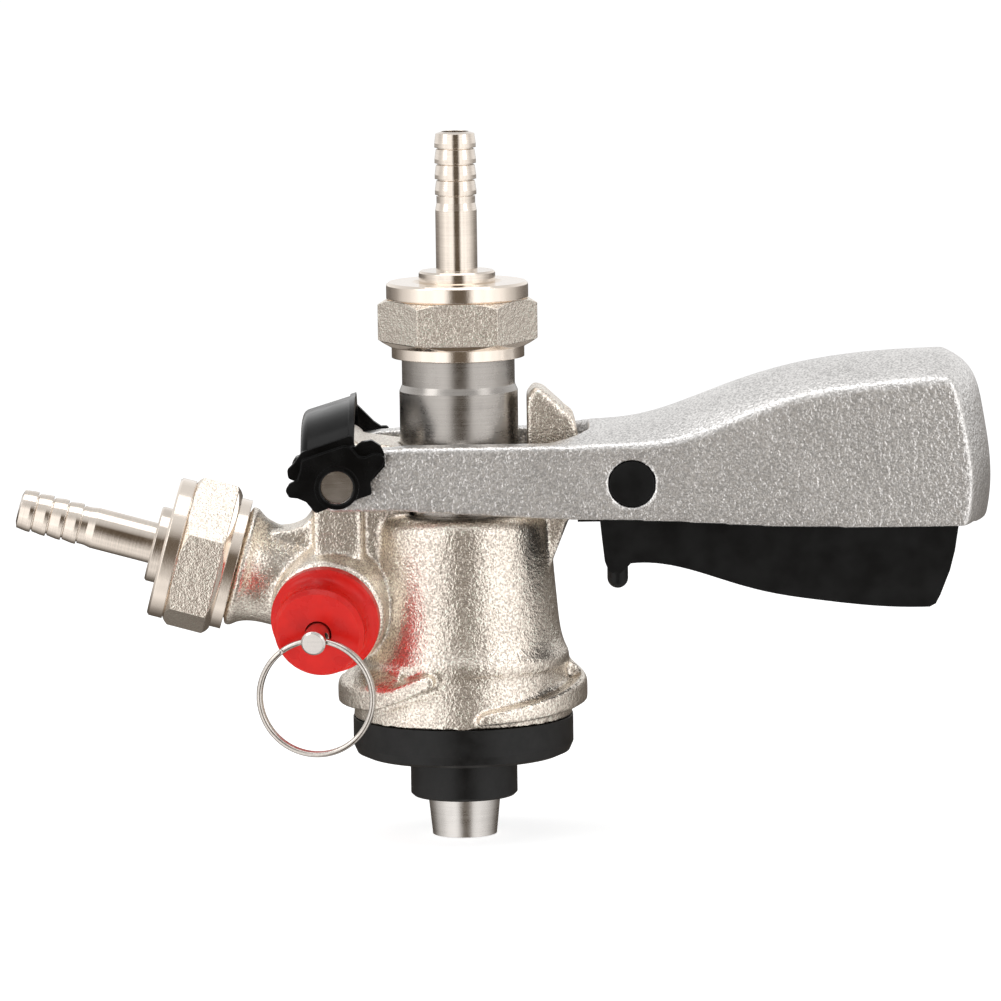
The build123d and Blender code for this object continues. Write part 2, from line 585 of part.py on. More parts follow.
def ear_plate(lobes, y_low, y_high):
    """One layer of a clip ear with rounded lobes; its outline is given about the hinge axis."""
    face = make_face(Polyline(*[(HINGE_X + x, HINGE_Z + z) for x, z in lobes], close=True))
    face = offset(offset(face, -EAR_ROUND), EAR_ROUND, kind=Kind.ARC)
    return extrude(Plane.XZ.offset(-y_high) * face, y_high - y_low)


def strap_arch(half_width, top):
    """Arched face across the lever, for the strap's outer or inner side."""
    foot = STRAP_FOOT
    curve = Spline((-half_width, foot), (-0.55 * half_width, top - 1.2), (0, top),
                   (0.55 * half_width, top - 1.2), (half_width, foot))
    return make_face(curve + Line((half_width, foot), (-half_width, foot)))


def hinge_clip():
    """Plastic keeper: a lobed ear over each end of the pin and a strap across."""
    face_in = ARM_OUT + CLIP_GAP
    face_mid = face_in + EAR_THICK / 2
    face_out = face_in + EAR_THICK
    solid = ear_plate(EAR_LOBES, -face_out, -face_mid) + ear_plate(BACK_LOBES, -face_mid, -face_in)
    solid += ear_plate(EAR_LOBES, face_mid, face_out) + ear_plate(FAR_WEB, face_in, face_mid)
    solid += ear_plate(EAR_LOBES, face_in, face_mid)
    tilt = radians(STRAP_TILT)
    start = Plane(origin=(HINGE_X - STRAP_BACK, 0, HINGE_Z), x_dir=(0, 1, 0), z_dir=(1, 0, 0))
    along = Vector(cos(tilt), 0, sin(tilt))
    reach = STRAP_WIDTH / cos(tilt)
    outer = extrude(start * strap_arch(face_mid, STRAP_RISE), reach, dir=along)
    back_edges = outer.edges().group_by(Axis.X)[0].sort_by(Axis.Z)
    outer = fillet(back_edges[-1], STRAP_THICK - 0.4)
    inner = extrude(start * strap_arch(face_in, STRAP_RISE - STRAP_THICK), reach, dir=along)
    rim_start = start.offset(STRAP_WIDTH - STRAP_RIM_WIDTH)
    rim_start.origin += Vector(0, 0, (STRAP_WIDTH - STRAP_RIM_WIDTH) * sin(tilt) / cos(tilt))
    rim = extrude(rim_start * strap_arch(face_mid + STRAP_RIM, STRAP_RISE + STRAP_RIM),
                  STRAP_RIM_WIDTH / cos(tilt), dir=along)
    solid += (outer + rim) - inner
    solid -= cross_rod(HINGE_X, HINGE_Z, HINGE_PIN_R + CLIP_HOLE_GAP, -40, 40)
    return one(solid)


def trigger_pin():
    """Headed half of the trigger's two-part pin."""
    head = ARM_OUT - WALL + 0.2
    shank = cross_rod(TRIGGER_X, TRIGGER_Z, TRIGGER_PIN_R, -head - 1, head)
    return one(shank + cross_rod(TRIGGER_X, TRIGGER_Z, TRIGGER_HEAD_R, -ARM_OUT, -head))


def trigger_pin_cap():
    head = ARM_OUT - WALL + 0.2
    return cross_rod(TRIGGER_X, TRIGGER_Z, TRIGGER_HEAD_R, head, ARM_OUT)


def trigger():
    """Finger trigger: a curved blade with a hub, a latch tooth and a round peg."""
    rear = GRIP_END - TRIGGER_REAR
    span = rear - TRIGGER_NOSE
    outline = Polyline(
        (TRIGGER_NOSE + 1.2, 47.2), (TRIGGER_NOSE, 45.6), (TRIGGER_NOSE, 43.5), (TRIGGER_NOSE + 0.8, 35.5),
        (TRIGGER_NOSE + 1.7, 33.0), (TRIGGER_NOSE + 4.1, 32.7), (TRIGGER_NOSE + 5.2, 33.6),
        (TRIGGER_NOSE + 6.4, 34.9),
    )
    outline += Spline(
        (TRIGGER_NOSE + 6.4, 34.9), *((TRIGGER_NOSE + share * span, height) for share, height in BLADE_EDGE))
    outline += Polyline(
        outline @ 1, (rear - 5.0, 25.3), (rear - 4.0, 27.2), (rear - 1.9, 32.5), (rear - 0.8, 36.8),
        (rear, REST_FACE_Z - 0.4), (rear - 0.2, 45.0), (rear - 5.2, 46.4), (70.0, 46.6), (52.0, 47.6),
        (42.0, 50.5), (TRIGGER_X + 4.0, TRIGGER_Z), (TRIGGER_X, TRIGGER_Z + TRIGGER_HUB_R - 1),
        (32.4, 50.0), (TRIGGER_NOSE + 1.2, 47.2),
    )
    blade = extrude(Plane.XZ.offset(-TRIGGER_W) * make_face(outline), 2 * TRIGGER_W)
    blade += cross_rod(TRIGGER_X, TRIGGER_Z, TRIGGER_HUB_R, -TRIGGER_W, TRIGGER_W)
    tip = LATCH_R + TOOTH_GAP
    low_x = HINGE_X + sqrt(tip ** 2 - (HINGE_Z - TOOTH_Z[0]) ** 2)
    high_x = HINGE_X + sqrt(tip ** 2 - (HINGE_Z - TOOTH_Z[1]) ** 2)
    tooth = [(low_x, TOOTH_Z[0]), (high_x, TOOTH_Z[1]), (32.0, TOOTH_Z[1] + 1), (32.0, TOOTH_Z[0])]
    blade += front_slab(tooth, -TOOTH_W, TOOTH_W)
    peg = Pos(TRIGGER_NOSE + 3.6, PEG_R - TRIGGER_W, 33.2)
    blade += peg * Pos(0, 0, -1.6) * Sphere(PEG_R)
    blade += peg * Cylinder(PEG_R, 3.2)
    blade -= cross_rod(TRIGGER_X, TRIGGER_Z, TRIGGER_PIN_R + PIN_GAP, -30, 30)
    return one(blade)


def trigger_spring():
    rise = SPRING_TOP - SPRING_LOW - SPRING_WIRE
    turns = 5
    path = Helix(rise / turns, rise, SPRING_R)
    start = Plane(path @ 0, z_dir=path % 0)
    coil = sweep(start * Circle(SPRING_WIRE / 2), path)
    return Pos(SPRING_X, 0, SPRING_LOW + SPRING_WIRE / 2) * coil


# ---------------------------------------------------------------- relief valve
def relief_valve_body():
    """Threaded bush with the seat, screwed into the boss under the cap."""
    return turned([
        (4.2, -RELIEF_BODY_DEPTH + 1.5), (3.0, -RELIEF_BODY_DEPTH), (RELIEF_BODY_R, -RELIEF_BODY_DEPTH),
        (RELIEF_BODY_R, 3.0), (5.6, 3.0), (5.6, -RELIEF_BODY_DEPTH + 1.5),
    ], relief_plane)


def relief_cap():
    """Red cap: wide flange, concave waist and a flat face round the stem."""
    outline = Polyline((STEM_HEAD_R + 0.25, 3.2), (RELIEF_BODY_R + 0.1, 3.2), (RELIEF_BODY_R + 0.1, PLAY),
                       (CAP_R, PLAY), (CAP_R, CAP_FLANGE), (CAP_R - 0.5, CAP_FLANGE + 0.5))
    outline += Spline((CAP_R - 0.5, CAP_FLANGE + 0.5), (CAP_WAIST_R + 0.5, CAP_FLANGE + 1.6),
                      (CAP_WAIST_R, 6.4), (CAP_FACE_R + 0.1, CAP_LENGTH - 1.2))
    outline += Polyline((CAP_FACE_R + 0.1, CAP_LENGTH - 1.2), (CAP_FACE_R - 0.7, CAP_LENGTH),
                        (STEM_HEAD_R + 0.25, CAP_LENGTH), (STEM_HEAD_R + 0.25, 3.2))
    return relief_plane * revolve(Plane.XZ * make_face(outline), Axis.Z)


def relief_stem():
    hole_at = CAP_LENGTH + STEM_OUT - 2.9
    solid = turned([
        (0, -RELIEF_BODY_DEPTH + 2.2), (2.0, -RELIEF_BODY_DEPTH + 2.2), (2.0, 1.0), (STEM_HEAD_R, 1.0),
        (STEM_HEAD_R, CAP_LENGTH + STEM_OUT - 0.4), (STEM_HEAD_R - 0.4, CAP_LENGTH + STEM_OUT),
        (0, CAP_LENGTH + STEM_OUT),
    ])
    hole = Pos(0, 0, hole_at) * Rot(0, 90, 0) * Cylinder(RING_HOLE_R, 8)
    return relief_plane * one(solid - hole)


def relief_seal():
    return tube(4.9, 2.0, -RELIEF_BODY_DEPTH + 1.6, -RELIEF_BODY_DEPTH + 3.2, relief_plane)


def relief_spring():
    low = -RELIEF_BODY_DEPTH + 3.7
    rise = 5.9
    path = Helix(rise / 4, rise, 3.9)
    start = Plane(path @ 0, z_dir=path % 0)
    coil = sweep(start * Circle(0.4), path)
    return relief_plane * Pos(0, 0, low) * coil


def ring_pivot():
    return relief_plane.from_local_coords(Vector(0, 0, CAP_LENGTH + STEM_OUT - 2.9))


def pull_ring():
    """Split ring: two flat coils side by side, hanging from the stem."""
    hang = ring_pivot() - Vector(0, 0, RING_R + 0.25)
    level = relief_plane.x_dir
    facing = level.cross(Vector(0, 0, 1))
    plane = Plane(origin=hang, x_dir=level, z_dir=facing)
    coil = Torus(RING_R, RING_WIRE)
    coils = Pos(0, 0, RING_PITCH / 2) * coil + Pos(0, 0, -RING_PITCH / 2) * coil
    return plane * one(coils)


# ---------------------------------------------------------------- the assembly
NODES = {
    "coupler_body": coupler_body,
    "body_seal": body_seal,
    "gas_tail": lambda: hose_tail(gas_plane, GAS_FACE),
    "gas_nut": lambda: hex_nut(gas_plane, GAS_FACE, GAS_NUT_TURN),
    "gas_check_valve": gas_check_valve,
    "relief_valve_body": relief_valve_body,
    "relief_cap": relief_cap,
    "relief_stem": relief_stem,
    "relief_seal": relief_seal,
    "relief_spring": relief_spring,
    "pull_ring": pull_ring,
    "probe_shaft": probe_shaft,
    "probe_lower_o_ring": lambda: o_ring(O_RING_Z[0]),
    "probe_upper_o_ring": lambda: o_ring(O_RING_Z[1]),
    "probe_seal": probe_seal,
    "probe_tip": probe_tip,
    "beer_tail": lambda: hose_tail(Plane.XY, NUT_SEAT_Z),
    "beer_nut": lambda: hex_nut(Plane.XY, NUT_SEAT_Z),
    "beer_washer": lambda: tube(THREAD_R - WASHER_GAP, 4.6, stub_top, stub_top + WASHER),
    "check_ball": lambda: Pos(0, 0, ball_height()) * Sphere(BALL_R),
    "ball_cage": ball_cage,
    "lever_handle": lever_handle,
    "hinge_pin": hinge_pin,
    "hinge_clip": hinge_clip,
    "trigger_pin": trigger_pin,
    "trigger_pin_cap": trigger_pin_cap,
    "trigger": trigger,
    "trigger_spring": trigger_spring,
}


def main():
    os.makedirs("parts", exist_ok=True)
    for name, make in NODES.items():
        shape = make()
        export_step(shape, f"parts/{name}.step")
        box = shape.bounding_box()
        print(name, [round(v, 1) for v in (*box.min, *box.max)])


main()
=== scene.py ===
"""Looks of the keg coupler: castings, wire ring, pin collars, materials and studio.

Every length is in metres unless its name ends in _MM or _mm.
"""

import math

import bmesh
import bpy
import numpy as np
from mathutils import Matrix, Vector


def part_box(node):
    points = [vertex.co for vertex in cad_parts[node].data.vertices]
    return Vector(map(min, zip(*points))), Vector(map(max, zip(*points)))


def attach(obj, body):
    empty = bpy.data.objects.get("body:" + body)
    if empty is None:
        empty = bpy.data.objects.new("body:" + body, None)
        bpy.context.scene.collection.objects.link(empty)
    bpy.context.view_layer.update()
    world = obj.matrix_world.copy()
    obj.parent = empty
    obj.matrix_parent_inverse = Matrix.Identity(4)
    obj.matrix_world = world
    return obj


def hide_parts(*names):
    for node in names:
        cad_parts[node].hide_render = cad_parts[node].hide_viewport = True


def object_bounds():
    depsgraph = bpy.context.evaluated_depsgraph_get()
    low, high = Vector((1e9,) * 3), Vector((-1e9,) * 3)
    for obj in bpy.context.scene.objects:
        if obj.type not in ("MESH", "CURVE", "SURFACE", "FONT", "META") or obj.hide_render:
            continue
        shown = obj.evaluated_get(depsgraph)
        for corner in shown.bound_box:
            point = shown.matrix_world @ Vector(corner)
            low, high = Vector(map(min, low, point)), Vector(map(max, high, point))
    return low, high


MM = 0.001
UP = (0.0, 0.0, 1.0)
GAS_TILT = math.radians(15.5)
GAS_AXIS = (-math.cos(GAS_TILT), 0.0, math.sin(GAS_TILT))

WARM = 0.115            # how much redder than blue the nickel plating is
COLLAR_LOW_MM = 3.6     # polished collar under each nut's hexagon
COLLAR_HIGH_MM = 3.8    # and the one over it
LUG_R_MM = 27.2         # the lugs' outer faces lie past this radius
LUG_TOP_MM = 13.0
BORE_R_MM = 14.2        # the casting's machined bores lie within this radius
RING_WIRE_MM = 0.62
RING_START = 55.0       # degrees from the ring's side up to its wire's end
RING_STEP = 9.0         # how sharply the wire steps from its first turn to its second
SHADE_COLLAR_R_MM = 4.66        # just inside the clip's holes
SHADE_COLLAR_GAP_MM = 0.05      # round the pin

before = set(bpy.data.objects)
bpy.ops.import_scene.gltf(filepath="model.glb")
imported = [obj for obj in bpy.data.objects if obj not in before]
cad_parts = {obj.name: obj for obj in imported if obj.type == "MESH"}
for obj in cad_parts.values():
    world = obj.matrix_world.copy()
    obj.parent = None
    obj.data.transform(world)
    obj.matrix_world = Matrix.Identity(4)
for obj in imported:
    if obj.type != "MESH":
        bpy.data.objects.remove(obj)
cad_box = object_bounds()


# ---------------------------------------------------------------- shader building blocks


class Paint:
    """One procedural material: short calls that add nodes in front of its Principled shader."""

    def __init__(self, name, **sockets):
        self.material = bpy.data.materials.new(name)
        self.material.use_nodes = True
        self.tree = self.material.node_tree
        self.shader = self.tree.nodes["Principled BSDF"]
        self.coords = self.add("ShaderNodeTexCoord").outputs["Object"]
        self.normal = None
        for socket, value in sockets.items():
            self.put(self.shader.inputs[socket.replace("_", " ")], value)

    def put(self, socket, value):
        """Links value to the socket if it is another node's output, and otherwise sets it."""
        if isinstance(value, bpy.types.NodeSocket):
            self.tree.links.new(value, socket)
        else:
            socket.default_value = value

    def add(self, kind, inputs=None, **settings):
        node = self.tree.nodes.new(kind)
        for key, value in settings.items():
            setattr(node, key, value)
        for key, value in (inputs or {}).items():
            self.put(node.inputs[key], value)
        return node

    def stretched(self, axis, across=1.0, along=1.0):
        """The coordinates with +Z along axis, scaled across and along it."""
        turn = Vector(axis).rotation_difference((0, 0, 1)).to_euler()
        turned = self.add("ShaderNodeVectorRotate", {"Vector": self.coords, "Rotation": turn},
                          rotation_type="EULER_XYZ")
        return self.add("ShaderNodeVectorMath", {0: turned.outputs[0], 1: (across, across, along)},
                        operation="MULTIPLY").outputs[0]

    def along(self, axis):
        """Distance along an axis through the origin."""
        return self.add("ShaderNodeVectorMath", {0: self.coords, 1: axis},
                        operation="DOT_PRODUCT").outputs["Value"]

    def noise(self, size_mm, detail=2.0, roughness=0.5, coords=None, seed=0.0):
        """Noise from 0 to 1 whose spots are about size_mm across."""
        node = self.add("ShaderNodeTexNoise", {
            "Vector": coords or self.coords, "W": seed, "Scale": 1 / (size_mm * MM),
            "Detail": detail, "Roughness": roughness}, noise_dimensions="4D")
        return node.outputs["Fac"]

    def span(self, value, low, high, to_low=0.0, to_high=1.0):
        """Maps low..high to to_low..to_high, clamped."""
        return self.add("ShaderNodeMapRange", {
            "Value": value, "From Min": low, "From Max": high,
            "To Min": to_low, "To Max": to_high}).outputs["Result"]

    def maths(self, operation, first, second=0.0):
        return self.add("ShaderNodeMath", {0: first, 1: second}, operation=operation).outputs[0]

    def between(self, value, low, high, soft):
        """1 from low to high, falling to 0 within soft."""
        rise = self.span(value, low - soft, low)
        return self.maths("MULTIPLY", rise, self.span(value, high, high + soft, 1.0, 0.0))

    def blend(self, factor, first, second, mode="MIX"):
        """Mixes two colours by factor."""
        node = self.add("ShaderNodeMix", data_type="RGBA", blend_type=mode)
        self.put(node.inputs["Factor"], factor)
        self.put(node.inputs[6], first)
        self.put(node.inputs[7], second)
        return node.outputs[2]

    def edges(self, radius_mm):
        """1 along outer and inner edges, 0 on open faces."""
        rounded = self.add("ShaderNodeBevel", {"Radius": radius_mm * MM}, samples=4)
        geometry = self.add("ShaderNodeNewGeometry")
        dot = self.add("ShaderNodeVectorMath",
                       {0: rounded.outputs[0], 1: geometry.outputs["Normal"]},
                       operation="DOT_PRODUCT")
        return self.span(dot.outputs["Value"], 0.995, 0.85)

    def round_edges(self, radius_mm):
        self.normal = self.add("ShaderNodeBevel", {"Radius": radius_mm * MM},
                               samples=6).outputs[0]

    def bump(self, height, depth_mm, strength=1.0):
        """Adds relief of depth_mm to the shading, on top of what is there."""
        node = self.add("ShaderNodeBump", {
            "Height": height, "Strength": strength, "Distance": depth_mm * MM})
        if self.normal is not None:
            self.put(node.inputs["Normal"], self.normal)
        self.normal = node.outputs[0]

    def done(self, colour=None, roughness=None):
        if colour is not None:
            self.put(self.shader.inputs["Base Color"], colour)
        if roughness is not None:
            self.put(self.shader.inputs["Roughness"], roughness)
        if self.normal is not None:
            self.put(self.shader.inputs["Normal"], self.normal)
        return self.material


def grey(value, warm=0.0):
    """A linear grey, with a little more red than blue where warm is above 0."""
    return (value * (1 + warm), value, value * (1 - warm), 1.0)


# ---------------------------------------------------------------- materials


def cast_metal(name, light, dark, warm, grain_mm, depth_mm, rough, polished=None, leather=0.0):
    """Tumbled cast metal: sparkling grains, shallow dimples and soft cloudy patches. The grains'
    colour, from light to dark, is painted sparkle on the grains and painted shade in the cavities
    between them; the clouds are random tone.

    polished(paint) gives 1 where the casting was turned or ground smooth.
    """
    paint = Paint(name, Metallic=1.0)
    grains = paint.noise(grain_mm, 1.0, 0.5)
    clouds = paint.noise(9.0, 2.0, seed=3.0)
    dimples = paint.noise(grain_mm * 3.0, 2.0, seed=7.0)
    # colour from the grains is painted sparkle and painted cavity shade; colour from the clouds is
    # random tone
    shade = paint.maths("ADD", paint.maths("MULTIPLY", grains, 0.85),
                        paint.maths("MULTIPLY", clouds, 0.15))
    colour = paint.blend(paint.span(shade, 0.38, 0.60), grey(dark, warm), grey(light, warm))
    level = paint.span(grains, 0.3, 0.7, rough + 0.06, rough - 0.06)
    rough_part = 1.0
    if polished:
        smooth = polished(paint)
        rough_part = paint.span(smooth, 0.0, 1.0, 1.0, 0.04)
        colour = paint.blend(smooth, colour, grey(0.84, warm))
        level = paint.add("ShaderNodeMix", {0: smooth, 2: level, 3: 0.16}).outputs[0]
    paint.round_edges(0.3)
    if leather:
        wrinkles = paint.noise(0.95, 1.0, 0.5, seed=11.0)
        paint.bump(paint.maths("MULTIPLY", wrinkles, rough_part), leather)
    paint.bump(paint.maths("MULTIPLY", dimples, rough_part), depth_mm * 1.6)
    paint.bump(paint.maths("MULTIPLY", grains, rough_part), depth_mm)
    return paint.done(colour, level)


def turned_metal(name, light, dark, warm, rough, axis=(0, 0, 1), line_mm=0.25, relief_mm=0.010):
    """Lathe-turned metal: fine lines round the axis, and faint smudges."""
    paint = Paint(name, Metallic=1.0)
    lines = paint.noise(line_mm, 3.0, 0.6, coords=paint.stretched(axis, 0.02, 1.0))
    smudges = paint.noise(5.0, 4.0, 0.6, seed=2.0)
    specks = paint.noise(0.5, 2.0, seed=6.0)
    tone = paint.maths("ADD", paint.maths("MULTIPLY", lines, 0.5),
                       paint.maths("MULTIPLY", smudges, 0.5))
    colour = paint.blend(paint.span(tone, 0.35, 0.65), grey(dark, warm), grey(light, warm))
    paint.round_edges(0.15)
    paint.bump(lines, relief_mm)
    paint.bump(specks, relief_mm * 0.6)
    level = paint.maths("ADD", paint.span(lines, 0.3, 0.7, -0.03, 0.03),
                        paint.span(smudges, 0.35, 0.7, rough - 0.03, rough + 0.06))
    return paint.done(colour, level)


def rubber(name):
    """Black rubber with a satin bloom and a few moulding specks."""
    paint = Paint(name, Specular_IOR_Level=0.30)
    bloom = paint.noise(3.5, 4.0, 0.6)
    specks = paint.noise(0.35, 2.0, seed=4.0)
    colour = paint.blend(paint.span(bloom, 0.35, 0.7), grey(0.004), grey(0.012, 0.02))
    paint.round_edges(0.25)
    paint.bump(specks, 0.02, 0.5)
    return paint.done(colour, paint.span(bloom, 0.3, 0.7, 0.30, 0.44))


def plastic(name, deep, pale, low, high, edge, texture_mm=0.5, relief_mm=0.01, shine=0.5):
    """Moulded plastic with a faint spark-eroded texture and lighter, rubbed edges."""
    paint = Paint(name, Specular_IOR_Level=shine)
    worn = paint.edges(0.5)
    mottle = paint.noise(5.0, 3.0)
    texture = paint.noise(texture_mm, 2.0, seed=5.0)
    colour = paint.blend(paint.span(mottle, 0.35, 0.68), deep, pale)
    colour = paint.blend(paint.maths("MULTIPLY", worn, 0.4), colour, edge)
    paint.round_edges(0.3)
    paint.bump(texture, relief_mm, 0.6)
    return paint.done(colour, paint.span(mottle, 0.3, 0.7, low, high))


def wire(name, light, dark, warm, rough):
    """Drawn wire: bright, with drawing marks."""
    paint = Paint(name, Metallic=1.0)
    marks = paint.noise(0.5, 3.0, 0.6)
    colour = paint.blend(paint.span(marks, 0.35, 0.65), grey(dark, warm), grey(light, warm))
    paint.bump(marks, 0.01, 0.4)
    return paint.done(colour, paint.span(marks, 0.3, 0.7, rough, rough + 0.08))


def height_span(name, axis):
    """Lowest and highest distance of the node's points along the axis."""
    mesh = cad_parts[name].data
    points = np.empty(len(mesh.vertices) * 3)
    mesh.vertices.foreach_get("co", points)
    heights = points.reshape(-1, 3) @ np.array(axis)
    return heights.min(), heights.max()


def nut_metal(name, axis):
    """A cast hexagon between two polished collars."""
    low, high = height_span(name, axis)
    hex_low, hex_high = low + COLLAR_LOW_MM * MM, high - COLLAR_HIGH_MM * MM

    def collars(paint):
        hexagon = paint.between(paint.along(axis), hex_low, hex_high, 0.15 * MM)
        return paint.maths("SUBTRACT", 1.0, hexagon)

    return cast_metal(name, 1.0, 0.62, WARM, 0.36, 0.14, 0.34, polished=collars)


MATERIALS = {
    "cast_body": cast_metal("cast_body", 1.0, 0.50, WARM, 0.46, 0.13, 0.31),
    "cast_lever": cast_metal("cast_lever", 0.96, 0.54, 0.02, 0.46, 0.12, 0.38, leather=0.16),
    "plated_nut": nut_metal("beer_nut", UP),
    "machined_steel": turned_metal("machined_steel", 0.74, 0.62, 0.05, 0.20),
    "black_rubber": rubber("black_rubber"),
    "black_plastic": plastic("black_plastic", grey(0.003), grey(0.006), 0.16, 0.28,
                             grey(0.012), shine=0.16),
    "black_trigger": plastic("black_trigger", grey(0.004), grey(0.008), 0.34, 0.46,
                             grey(0.012), 0.4, 0.03, shine=0.2),
    "red_plastic": plastic("red_plastic", (0.70, 0.006, 0.003, 1), (0.84, 0.012, 0.006, 1),
                           0.24, 0.34, (0.95, 0.05, 0.03, 1), shine=0.30),
    "spring_steel": wire("spring_steel", 0.66, 0.50, 0.07, 0.16),
    "ball_steel": wire("ball_steel", 0.72, 0.66, 0.02, 0.08),
}

NODE_MATERIALS = {
    "gas_nut": nut_metal("gas_nut", GAS_AXIS),
    "beer_tail": turned_metal("beer_tail", 0.80, 0.66, WARM, 0.13),
    "gas_tail": turned_metal("gas_tail", 0.80, 0.66, WARM, 0.13, GAS_AXIS),
    "probe_shaft": turned_metal("probe_shaft", 0.44, 0.34, 0.06, 0.27, line_mm=0.4),
    "probe_tip": turned_metal("probe_tip", 0.70, 0.58, 0.04, 0.27, line_mm=0.3),
}


def dress(piece, material):
    """Gives every slot of the piece that material."""
    if not piece.material_slots:
        piece.data.materials.append(material)
    for place in piece.material_slots:
        place.material = material


for name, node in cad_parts.items():
    slot = node.material_slots[0].material.name.split(".")[0]
    dress(node, NODE_MATERIALS.get(name, MATERIALS[slot]))


# ---------------------------------------------------------------- pieces


def link_piece(name, mesh, material):
    piece = bpy.data.objects.new(name, mesh)
    bpy.context.scene.collection.objects.link(piece)
    dress(piece, material)
    return piece


def mesh_piece(name, bm, material):
    mesh = bpy.data.meshes.new(name)
    bm.to_mesh(mesh)
    bm.free()
    return link_piece(name, mesh, material)


def relaxed(points, pairs, softness, passes):
    """Moves each point towards the mean of its neighbours, by its softness, passes times."""
    count = len(points)
    first, second = pairs[:, 0], pairs[:, 1]
    degree = np.bincount(first, minlength=count) + np.bincount(second, minlength=count)
    for _ in range(passes):
        mean = np.empty_like(points)
        for axis in range(3):
            total = np.bincount(first, points[second, axis], count)
            total += np.bincount(second, points[first, axis], count)
            mean[:, axis] = total / degree
        points += (mean - points) * softness[:, None]
    return points


def casting(name, node_name, body, material, voxel_mm, passes, crisp=None):
    """A replacement of the node with a casting's soft corners.

    crisp(x, y, z) in mm is 1 on machined faces, which stay sharper, and 0 on the cast skin.
    """
    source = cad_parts[node_name]
    piece = link_piece(name, source.data.copy(), material)
    remesh = piece.modifiers.new("remesh", "REMESH")
    remesh.mode, remesh.voxel_size = "VOXEL", voxel_mm * MM
    depsgraph = bpy.context.evaluated_depsgraph_get()
    mesh = bpy.data.meshes.new_from_object(piece.evaluated_get(depsgraph))
    piece.modifiers.clear()
    piece.data = mesh
    mesh.name = name
    dress(piece, material)
    points = np.empty(len(mesh.vertices) * 3)
    mesh.vertices.foreach_get("co", points)
    points = points.reshape(-1, 3)
    pairs = np.empty(len(mesh.edges) * 2, dtype=np.int64)
    mesh.edges.foreach_get("vertices", pairs)
    soft = 1.0 - crisp(*(points / MM).T) if crisp else np.ones(len(points))
    points = relaxed(points, pairs.reshape(-1, 2), 0.15 + 0.4 * soft, passes)
    mesh.vertices.foreach_set("co", points.ravel())
    mesh.polygons.foreach_set("use_smooth", [True] * len(mesh.polygons))
    mesh.update()
    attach(piece, body)
    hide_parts(node_name)


def body_machined(x, y, z):
    """Faces of the lugs and the bores, which are cut and not cast."""
    away = np.hypot(x, y)
    lug = (away > LUG_R_MM) & (z < LUG_TOP_MM)
    return np.maximum(lug, away < BORE_R_MM).astype(float)


casting("body_casting", "coupler_body", "body", MATERIALS["cast_body"], 0.45, 8, body_machined)
casting("lever_casting", "lever_handle", "lever", MATERIALS["cast_lever"], 0.5, 5)


def split_ring(turns=2, steps=96, sides=14):
    """The pull ring as one wire wound twice, with its two ends beside each other."""
    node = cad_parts["pull_ring"]
    points = np.array([tuple(vertex.co) for vertex in node.data.vertices])
    middle = (points.min(0) + points.max(0)) / 2
    axis = Vector(np.linalg.svd(points - points.mean(0), full_matrices=False)[2][2])
    if axis.y > 0:
        axis = -axis
    across = axis.cross(UP).normalized()
    radius = (points[:, 2].max() - points[:, 2].min()) / 2
    thick = np.abs((points - middle) @ np.array(axis)).max()
    gauge = RING_WIRE_MM * MM
    radius -= gauge
    offset = thick - gauge
    bm = bmesh.new()
    rings = []
    start = math.radians(RING_START)
    for step in range(turns * steps + 1):
        share = step / (turns * steps)
        angle = start + share * turns * 2 * math.pi
        shift = math.tanh((share - 0.5) * RING_STEP) * offset
        out = across * math.cos(angle) + Vector(UP) * math.sin(angle)
        centre = Vector(middle) + out * radius + axis * shift
        rings.append([bm.verts.new(
            centre + (out * math.cos(turn) + axis * math.sin(turn)) * gauge)
            for turn in (2 * math.pi * side / sides for side in range(sides))])
    for low, high in zip(rings, rings[1:]):
        for side in range(sides):
            after = (side + 1) % sides
            bm.faces.new((low[side], low[after], high[after], high[side]))
    bm.faces.new(list(reversed(rings[0])))
    bm.faces.new(rings[-1])
    bmesh.ops.recalc_face_normals(bm, faces=bm.faces)
    for face in bm.faces:
        face.smooth = len(face.verts) == 4
    piece = mesh_piece("pull_ring_wire", bm, MATERIALS["spring_steel"])
    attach(piece, "pull_ring")
    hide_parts("pull_ring")


def pin_shade_collars(sides=48):
    """Black collars in the clip's holes, round the ends of the hinge pin. They carry the clip's
    black plastic up to the pin, and their black in the gap round the pin is painted shade.
    """
    pin_low, pin_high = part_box("hinge_pin")
    clip_low, clip_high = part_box("hinge_clip")
    middle = (pin_low + pin_high) / 2
    inner = (pin_high.z - pin_low.z) / 2 + SHADE_COLLAR_GAP_MM * MM
    # each collar's black fills the gap round the pin as painted shade, as well as being the clip's
    # own black
    for name, face, inward in (("pin_shade_collar_near", clip_low.y, 1), ("pin_shade_collar_far", clip_high.y, -1)):
        profile = ((inner, 0.35), (inner + 0.25 * MM, 0.15), (SHADE_COLLAR_R_MM * MM, 0.15),
                   (SHADE_COLLAR_R_MM * MM, 1.1), (inner, 1.1))
        bm = bmesh.new()
        rings = [[bm.verts.new((middle.x + radius * math.cos(turn), face + inward * depth * MM,
                                middle.z + radius * math.sin(turn)))
                  for turn in (2 * math.pi * side / sides for side in range(sides))]
                 for radius, depth in profile]
        for low, high in zip(rings, rings[1:] + rings[:1]):
            for side in range(sides):
                after = (side + 1) % sides
                bm.faces.new((low[side], low[after], high[after], high[side]))
        bmesh.ops.recalc_face_normals(bm, faces=bm.faces)
        shade_collar = mesh_piece(name, bm, MATERIALS["black_plastic"])
        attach(shade_collar, "lever")


# ---------------------------------------------------------------- studio


